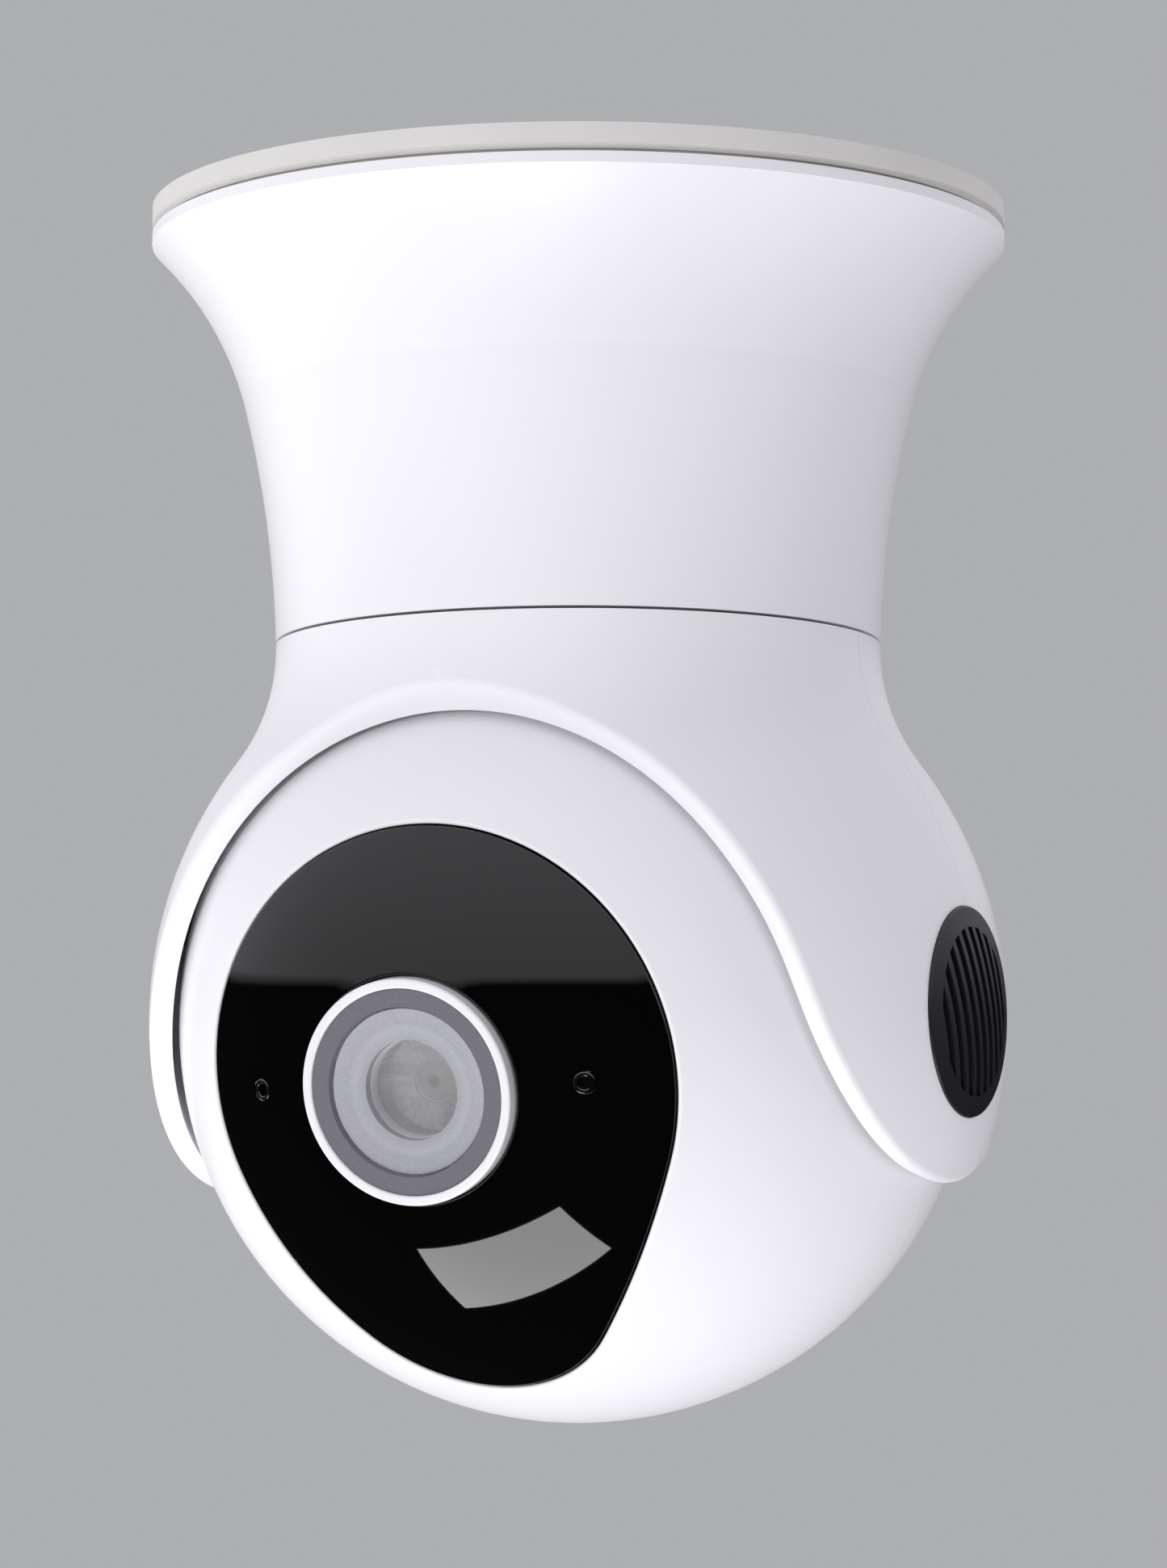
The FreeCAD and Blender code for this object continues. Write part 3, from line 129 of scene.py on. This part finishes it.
def board_finish(name, mask, copper, track_size=0.0012):
    """Solder mask over copper: tracks show as slightly lighter lines between blocks of mask in two
    close shades.
    """
    material = finish(name, mask, 0.35, coat=0.4)
    tree = material.node_tree
    shader = tree.nodes["Principled BSDF"]
    place = tree.nodes["Texture Coordinate"]
    tracks = tree.nodes.new("ShaderNodeTexBrick")
    tracks.inputs["Scale"].default_value = 1
    tracks.inputs["Brick Width"].default_value = track_size * 6
    tracks.inputs["Row Height"].default_value = track_size
    tracks.inputs["Mortar Size"].default_value = track_size * 0.18
    tracks.inputs["Color1"].default_value = (*mask, 1)
    tracks.inputs["Color2"].default_value = (*[value * 0.9 for value in mask], 1)
    tracks.inputs["Mortar"].default_value = (*copper, 1)
    tree.links.new(place.outputs["Object"], tracks.inputs["Vector"])
    tree.links.new(tracks.outputs["Color"], shader.inputs["Base Color"])
    return material


green_board = board_finish("green_circuit_board", (0.012, 0.10, 0.035), (0.05, 0.22, 0.08))
tinplate = finish("tinned_steel", (0.66, 0.66, 0.67), 0.28, metallic=1.0, grain=0.1, mottle=0.1,
                  mottle_size=0.004, roughness_spread=0.08)
acetal = finish("natural_acetal", (0.80, 0.78, 0.70), 0.38, grain=0.06, mottle=0.04)
dress(green_board, "power_board")
dress(tinplate, "power_socket", "pan_motor")
dress(zinc, "power_board_screws", "pan_motor_screws", "pan_motor_shaft", "spindle_clip")
dress(rubber, "pan_cable")
dress(acetal, "pan_bush", "pan_pinion", "pan_gear")


# --- hood --------------------------------------------------------------------------------------
# The turning head: a turntable that hangs in the neck, and a front and a rear shell clamped round
# its flange with screws under small flush caps. Their two ears carry the ball, and the lip that
# runs between them is softly rounded.

dress(white_plastic, "turntable", "hood_front", "hood_rear", "hood_screw_caps")
dress(zinc, "hood_screws")


# --- speaker -----------------------------------------------------------------------------------
# A small driver in the right ear behind a soft gasket, covered by a domed dark grille whose slots
# lean with the ear.

grille_plastic = finish("dark_grille_plastic", (0.014, 0.0135, 0.016), 0.42, grain=0.15, mottle=0.1,
                        roughness_spread=0.05)
black_plastic = finish("black_plastic", (0.012, 0.012, 0.013), 0.45, grain=0.12, mottle=0.1)
dress(grille_plastic, "speaker_grille")
dress(black_plastic, "speaker")
dress(rubber, "speaker_gasket")


# --- tilt axle ---------------------------------------------------------------------------------
# The left ear holds the axle that the ball turns on, with the fixed gear that the tilt motor
# walks round and the clip that keeps it on.

dress(acetal, "tilt_axle", "tilt_gear")
dress(zinc, "axle_clip")


# --- ball --------------------------------------------------------------------------------------
# Two glossy white half shells joined with four screws. The front one has the pocket for the
# window, whose rim is rounded.

dress(white_plastic, "ball_front", "ball_rear")
dress(zinc, "ball_screws")
dress(acetal, "tilt_bushes")


# --- window ------------------------------------------------------------------------------------
# A teardrop of black acrylic that passes infrared, polished like glass, with a fine ground edge
# and two eyelets, one for the microphone and one for the light pipe.

acrylic = finish("black_acrylic", (0.001, 0.001, 0.001), 0.03, coat=0.1)
acrylic_shader = acrylic.node_tree.nodes["Principled BSDF"]
acrylic_shader.inputs["Coat Roughness"].default_value = 0.02
acrylic_shader.inputs["Specular IOR Level"].default_value = 0.62
dress(acrylic, "window")

joints = {joint["name"]: joint for joint in frame["record"]["behaviour"]["joints"]}
ball_centre = Vector(joints["tilt"]["pos_m"])
down = joints["card_slide"]["axis"]
droop_angle = math.atan2(down[1], -down[2])
droop = Matrix.Rotation(droop_angle, 4, "X")
window_radius = max((vertex.co - ball_centre).length for vertex in nodes["window"].data.vertices)


def middle_of(node):
    """The middle of a CAD node's box at rest."""
    low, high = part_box(node)
    return (low + high) / 2


def settle(shape, name, material, body):
    """A finished mesh becomes a piece that rides on a body."""
    bmesh.ops.recalc_face_normals(shape, faces=shape.faces)
    mesh = bpy.data.meshes.new(name)
    shape.to_mesh(mesh)
    shape.free()
    for face in mesh.polygons:
        face.use_smooth = True
    mesh.materials.append(material)
    piece = bpy.data.objects.new(name, mesh)
    bpy.context.scene.collection.objects.link(piece)
    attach(piece, body)
    return piece


def lathe(points, steps):
    """A bmesh turned round Z from a closed outline of (radius, height) points."""
    shape = bmesh.new()
    corners = [shape.verts.new((radius, 0, height)) for radius, height in points]
    pairs = zip(corners, corners[1:] + corners[:1])
    outline = corners + [shape.edges.new(pair) for pair in pairs]
    bmesh.ops.spin(shape, geom=outline, axis=(0, 0, 1), cent=(0, 0, 0), angle=math.tau, steps=steps,
                   use_merge=True)
    bmesh.ops.remove_doubles(shape, verts=shape.verts, dist=0.0000005)
    return shape


def face_forward(shape, forward, sideways=0.0):
    """Turns a lathed shape's +Z to the lens direction, that far out from the ball's centre."""
    lie_down = Matrix.Rotation(math.radians(90), 3, "X")
    bmesh.ops.rotate(shape, verts=shape.verts, cent=(0, 0, 0), matrix=lie_down)
    bmesh.ops.translate(shape, verts=shape.verts, vec=(0, -forward, 0))
    onto_ball = Matrix.Translation(ball_centre) @ droop @ Matrix.Rotation(sideways, 4, "Z")
    bmesh.ops.transform(shape, verts=shape.verts, matrix=onto_ball)


eyelet_lip = [(0.00066, -0.0003), (0.00066, 0.00000), (0.00072, 0.00005), (0.00084, 0.00007),
              (0.00098, 0.00006), (0.00108, 0.00001), (0.00110, -0.00006), (0.00096, -0.0001),
              (0.00094, -0.0003)]
polished_black = finish("polished_black_plastic", (0.004, 0.004, 0.004), 0.10, coat=1.0)
polished_black.node_tree.nodes["Principled BSDF"].inputs["Specular IOR Level"].default_value = 1.0
for node, name in (("microphone_boot", "microphone_eyelet"), ("light_pipe", "status_light_eyelet")):
    lip = lathe(eyelet_lip, steps=40)
    face_forward(lip, window_radius, sideways=math.asin(middle_of(node).x / window_radius))
    settle(lip, name, polished_black, "ball")


# --- lens --------------------------------------------------------------------------------------
# A white ring stands a little proud of the window. The flat grey shroud inside it, whose greys
# carry painted shade and a painted reflection, holds the cover glass over a speckled cone, the
# front element, whose pale grey is a painted reflection, and two small inner ones with amber and
# white coatings.

ring_plastic = finish("white_ring_plastic", (0.78, 0.78, 0.80), 0.24, coat=0.5, mottle=0.02)
dress(ring_plastic, "lens_bezel")


def glass_finish(name, colour, alpha, roughness=0.02):
    """Thin glass: light passes straight through it and its faces still shine."""
    material = finish(name, colour, roughness)
    shader = material.node_tree.nodes["Principled BSDF"]
    shader.inputs["Alpha"].default_value = alpha
    return material


def rings_finish(name, colour, roughness, bands, speckle=0.0):
    """A speckled finish in rings round the lens axis, from (radius, colour) bands."""
    ramp_scale = 100  # the colour ramp covers the first 10 mm from the axis
    specks_per_metre = 4200
    material = finish(name, colour, roughness)
    tree = material.node_tree
    place = tree.nodes["Texture Coordinate"]
    level = tree.nodes.new("ShaderNodeMapping")
    level.inputs["Rotation"].default_value = (-droop_angle, 0, 0)
    level.inputs["Location"].default_value = -(droop.to_3x3().inverted() @ ball_centre)
    flat = tree.nodes.new("ShaderNodeVectorMath")
    flat.operation = "MULTIPLY"
    flat.inputs[1].default_value = (ramp_scale, 0, ramp_scale)
    reach = tree.nodes.new("ShaderNodeVectorMath")
    reach.operation = "LENGTH"
    ramp = tree.nodes.new("ShaderNodeValToRGB")
    stops = ramp.color_ramp.elements
    for index, (radius, shade) in enumerate(bands):
        stop = stops[index] if index < 2 else stops.new(radius * ramp_scale)
        stop.position = radius * ramp_scale
        stop.color = (*shade, 1)
    tree.links.new(place.outputs["Object"], level.inputs["Vector"])
    tree.links.new(level.outputs["Vector"], flat.inputs[0])
    tree.links.new(flat.outputs["Vector"], reach.inputs[0])
    tree.links.new(reach.outputs["Value"], ramp.inputs["Fac"])
    sparkle = tree.nodes.new("ShaderNodeTexVoronoi")
    sparkle.inputs["Scale"].default_value = specks_per_metre
    specks = tree.nodes.new("ShaderNodeMapRange")
    specks.inputs["From Max"].default_value = 0.5
    specks.inputs["To Min"].default_value = 1 + speckle
    specks.inputs["To Max"].default_value = 1 - speckle / 2
    speckled = tree.nodes.new("ShaderNodeVectorMath")
    speckled.operation = "SCALE"
    tree.links.new(place.outputs["Object"], sparkle.inputs["Vector"])
    tree.links.new(sparkle.outputs["Distance"], specks.inputs["Value"])
    tree.links.new(ramp.outputs["Color"], speckled.inputs[0])
    tree.links.new(specks.outputs["Result"], speckled.inputs["Scale"])
    tree.links.new(speckled.outputs["Vector"], tree.nodes["Principled BSDF"].inputs["Base Color"])
    return material


# The shroud's rings carry painted light. The dark outer band is the shroud's own dark ring, lifted
# to grey by a painted reflection of the cover glass. The dip at 6.8 mm is painted shade where the
# flat ring turns into the cone, and the darkening towards 5 mm is painted shade down the cone. The
# speckle is the shroud's own texture.
lens_shroud_with_painted_shade = rings_finish("lens_shroud_painted_shade_and_reflection", (0.4, 0.4, 0.43), 0.6, [
    (0.0050, (0.35, 0.35, 0.38)), (0.0062, (0.42, 0.42, 0.45)), (0.0068, (0.37, 0.37, 0.40)),
    (0.0080, (0.41, 0.41, 0.44)), (0.00822, (0.44, 0.44, 0.47)), (0.00826, (0.148, 0.148, 0.166))],
    speckle=0.14)
# The barrel's inside is painted pale. This is painted light that keeps it from sinking into shade
# behind the front element. It darkens towards the 2 mm pupil.
lens_barrel_painted_pale = rings_finish("lens_barrel_painted_light", (0.6, 0.6, 0.6), 0.4, [
    (0.0020, (0.40, 0.40, 0.39)), (0.0049, (0.66, 0.66, 0.66))])
dress(glass_finish("clear_cover_glass", (0.55, 0.56, 0.60), 0.06), "cover_glass")
dress(lens_shroud_with_painted_shade, "lens_shroud")
dress(lens_barrel_painted_pale, "lens_barrel")
# The front element's pale grey colour is a painted reflection on the glass.
dress(glass_finish("lens_glass_painted_reflection", (0.62, 0.63, 0.63), 0.28, 0.12), "front_element")
dress(black_plastic, "lens_holder")
dress(glass_finish("infrared_filter_glass", (0.3, 0.7, 0.75), 0.5), "ir_filter")
dress(finish("sensor_face", (0.03, 0.04, 0.06), 0.1, coat=1.0), "image_sensor")

element_deep = (middle_of("front_element") - ball_centre).length
element_rim = 0.0003
dome_steps = 10
for name, tint, radius, bulge, behind in (
        ("inner_element", (1.0, 0.55, 0.25), 0.00205, 0.0009, 0.0021),
        ("rear_element", (1.0, 0.97, 0.92), 0.00165, 0.0004, 0.0033)):
    coating = finish(name + "_coated_glass", (0.10, 0.095, 0.09), 0.05)
    shader = coating.node_tree.nodes["Principled BSDF"]
    shader.inputs["Specular Tint"].default_value = (*tint, 1)
    shader.inputs["IOR"].default_value = 2.6
    dome = [(radius * step / dome_steps, bulge * (1 - (step / dome_steps) ** 2))
            for step in range(dome_steps + 1)]
    element = lathe(dome + [(radius, -element_rim), (0, -element_rim)], steps=48)
    face_forward(element, element_deep - behind)
    settle(element, name, coating, "ball")

# A thin white ring round the small inner element stands for the bright rim there. Its white is a
# painted highlight.
ring_inside, ring_outside = 0.00208, 0.00218
ring_back, ring_front = -0.0001, 0.00005
ring_behind = 0.0020
highlight_ring = lathe([(ring_inside, ring_back), (ring_outside, ring_back),
                  (ring_outside, ring_front), (ring_inside, ring_front)], steps=48)
face_forward(highlight_ring, element_deep - ring_behind)
settle(highlight_ring, "inner_painted_highlight_ring", ring_plastic, "ball")


# --- lamps and microphone ----------------------------------------------------------------------
# A black board behind the window carries six infrared lamps. The microphone sits in a rubber boot
# behind one eyelet, and the status light's clear pipe ends behind the other.

black_board = board_finish("black_circuit_board", (0.010, 0.010, 0.012), (0.03, 0.03, 0.035))
dress(black_board, "led_board")
dress(glass_finish("clear_epoxy", (0.7, 0.73, 0.8), 0.6, 0.05), "infrared_lamps")
dress(tinplate, "microphone", "wifi_module", "card_socket")
dress(rubber, "microphone_boot")
# The clear pipe is coloured near black. This is painted shade inside the eyelet.
dress(glass_finish("light_pipe_painted_shade", (0.002, 0.002, 0.002), 0.95, 0.1), "light_pipe")


# --- main board --------------------------------------------------------------------------------
# The camera's main board across the ball with its processor, the aluminium heat spreader and the
# radio module, held by four screws.

dress(green_board, "main_board", "card_board")
dress(zinc, "board_screws", "tilt_motor_screws", "tilt_motor_shaft")
chip_epoxy = finish("moulded_epoxy", (0.02, 0.02, 0.022), 0.5, grain=0.2, mottle=0.2)
aluminium = finish("bare_aluminium", (0.68, 0.69, 0.71), 0.38, metallic=1.0, grain=0.3,
                   mottle=0.08, roughness_spread=0.08)
dress(chip_epoxy, "processor", "reset_switch")
dress(aluminium, "heat_spreader")


# --- tilt drive, card and button ---------------------------------------------------------------
# The tilt motor with its pinion on the ball's left side, and the memory card and reset button
# that are reached from below.

dress(tinplate, "tilt_motor")
dress(acetal, "tilt_pinion")
dress(black_plastic, "memory_card")
dress(ring_plastic, "reset_button")


# --- studio ------------------------------------------------------------------------------------
# A flat pale floor well below, six soft boxes round the camera and a plain grey backdrop. Only the
# low box and the narrow edge strip are mirrored in the glossy window.

def panel(name, place, aim, width, height, power):
    """A soft rectangular lamp turned towards a point."""
    lamp = bpy.data.lights.new(name, "AREA")
    lamp.shape = "RECTANGLE"
    lamp.size = width
    lamp.size_y = height
    lamp.energy = power
    holder = bpy.data.objects.new(name, lamp)
    bpy.context.scene.collection.objects.link(holder)
    holder.location = place
    holder.rotation_euler = (Vector(aim) - Vector(place)).to_track_quat("-Z", "Y").to_euler()
    return holder


view_turn = math.radians(25)
across = Vector((math.cos(view_turn), math.sin(view_turn), 0))
towards = Vector((math.sin(view_turn), -math.cos(view_turn), 0))
middle = Vector((0, 0, -0.065))


def around_view(right, up, front):
    """A point given as metres to the viewer's right, up, and towards the viewer."""
    return middle + across * right + Vector((0, 0, up)) + towards * front


for name, place, width, height, power, mirrored in (
        ("right_box", (0.90, -0.30, -0.25), 0.6, 0.5, 2.7, False),
        ("low_box", (-0.12, -0.49, 0.12), 0.38, 0.17, 0.90, True),
        ("edge_strip", (-0.50, -0.34, -0.57), 0.04, 0.15, 0.2, True),
        ("left_back_box", (-0.75, -0.15, -0.45), 0.5, 0.6, 3.2, False),
        ("left_front_box", (-0.55, 0.02, 0.75), 0.35, 0.25, 2.7, False),
        ("low_front_box", (-0.20, -0.62, 0.50), 0.5, 0.3, 2.4, False)):
    panel(name, around_view(*place), middle, width, height, power).visible_glossy = mirrored

floor_reach = 3
floor_level = -0.75
floor_shape = bmesh.new()
bmesh.ops.create_grid(floor_shape, x_segments=2, y_segments=2, size=1)
bmesh.ops.scale(floor_shape, verts=floor_shape.verts, vec=(floor_reach, floor_reach, 1))
bmesh.ops.translate(floor_shape, verts=floor_shape.verts, vec=(0, 0, floor_level))
floor_mesh = bpy.data.meshes.new("studio_floor")
floor_shape.to_mesh(floor_mesh)
floor_shape.free()
floor = bpy.data.objects.new("studio_floor", floor_mesh)
bpy.context.scene.collection.objects.link(floor)
pale_floor = finish("pale_floor", (0.62, 0.62, 0.63), 0.8, mottle=0.02, mottle_size=0.5)
floor_mesh.materials.append(pale_floor)
floor.visible_glossy = False

dark_below, pale_above, brightest = 0.562, 0.582, 0.9  # heights in the sky, 0 below to 1 overhead
world = bpy.data.worlds.new("studio_air")
world.use_nodes = True
air = world.node_tree
ways = air.nodes.new("ShaderNodeTexCoord")
split = air.nodes.new("ShaderNodeSeparateXYZ")
sky = air.nodes.new("ShaderNodeValToRGB")
sky.color_ramp.elements[0].position = dark_below
sky.color_ramp.elements[0].color = (0.01, 0.01, 0.011, 1)
sky.color_ramp.elements[1].position = pale_above
sky.color_ramp.elements[1].color = (0.70, 0.69, 0.73, 1)
above = sky.color_ramp.elements.new(brightest)
above.color = (1.0, 0.99, 1.05, 1)
lift = air.nodes.new("ShaderNodeMapRange")
lift.inputs["From Min"].default_value = -1
sight = air.nodes.new("ShaderNodeLightPath")
lit = air.nodes["Background"]
lit.inputs["Strength"].default_value = 0.9
seen = air.nodes.new("ShaderNodeBackground")
seen.inputs["Color"].default_value = (0.42, 0.425, 0.44, 1)
either = air.nodes.new("ShaderNodeMixShader")
air.links.new(ways.outputs["Generated"], split.inputs["Vector"])
air.links.new(split.outputs["Z"], lift.inputs["Value"])
air.links.new(lift.outputs["Result"], sky.inputs["Fac"])
air.links.new(sky.outputs["Color"], lit.inputs["Color"])
air.links.new(sight.outputs["Is Camera Ray"], either.inputs["Fac"])
air.links.new(lit.outputs["Background"], either.inputs[1])
air.links.new(seen.outputs["Background"], either.inputs[2])
air.links.new(either.outputs["Shader"], air.nodes["World Output"].inputs["Surface"])
bpy.context.scene.world = world
bpy.context.scene.view_settings.view_transform = "Standard"

eye_distance, eye_height = 0.5772, -0.1189
aim_across, aim_height = 0.00055, -0.0607
camera_data = bpy.data.cameras.new("camera")
camera_data.sensor_fit = "VERTICAL"
camera_data.sensor_height = 36
camera_data.lens = 126.95
camera_data.clip_start = 0.05
camera_data.clip_end = 20
camera = bpy.data.objects.new("camera", camera_data)
bpy.context.scene.collection.objects.link(camera)
eye = towards * eye_distance + across * aim_across + Vector((0, 0, eye_height))
aim = across * aim_across + Vector((0, 0, aim_height))
camera.location = eye
camera.rotation_euler = (aim - eye).to_track_quat("-Z", "Y").to_euler()
bpy.context.scene.camera = camera
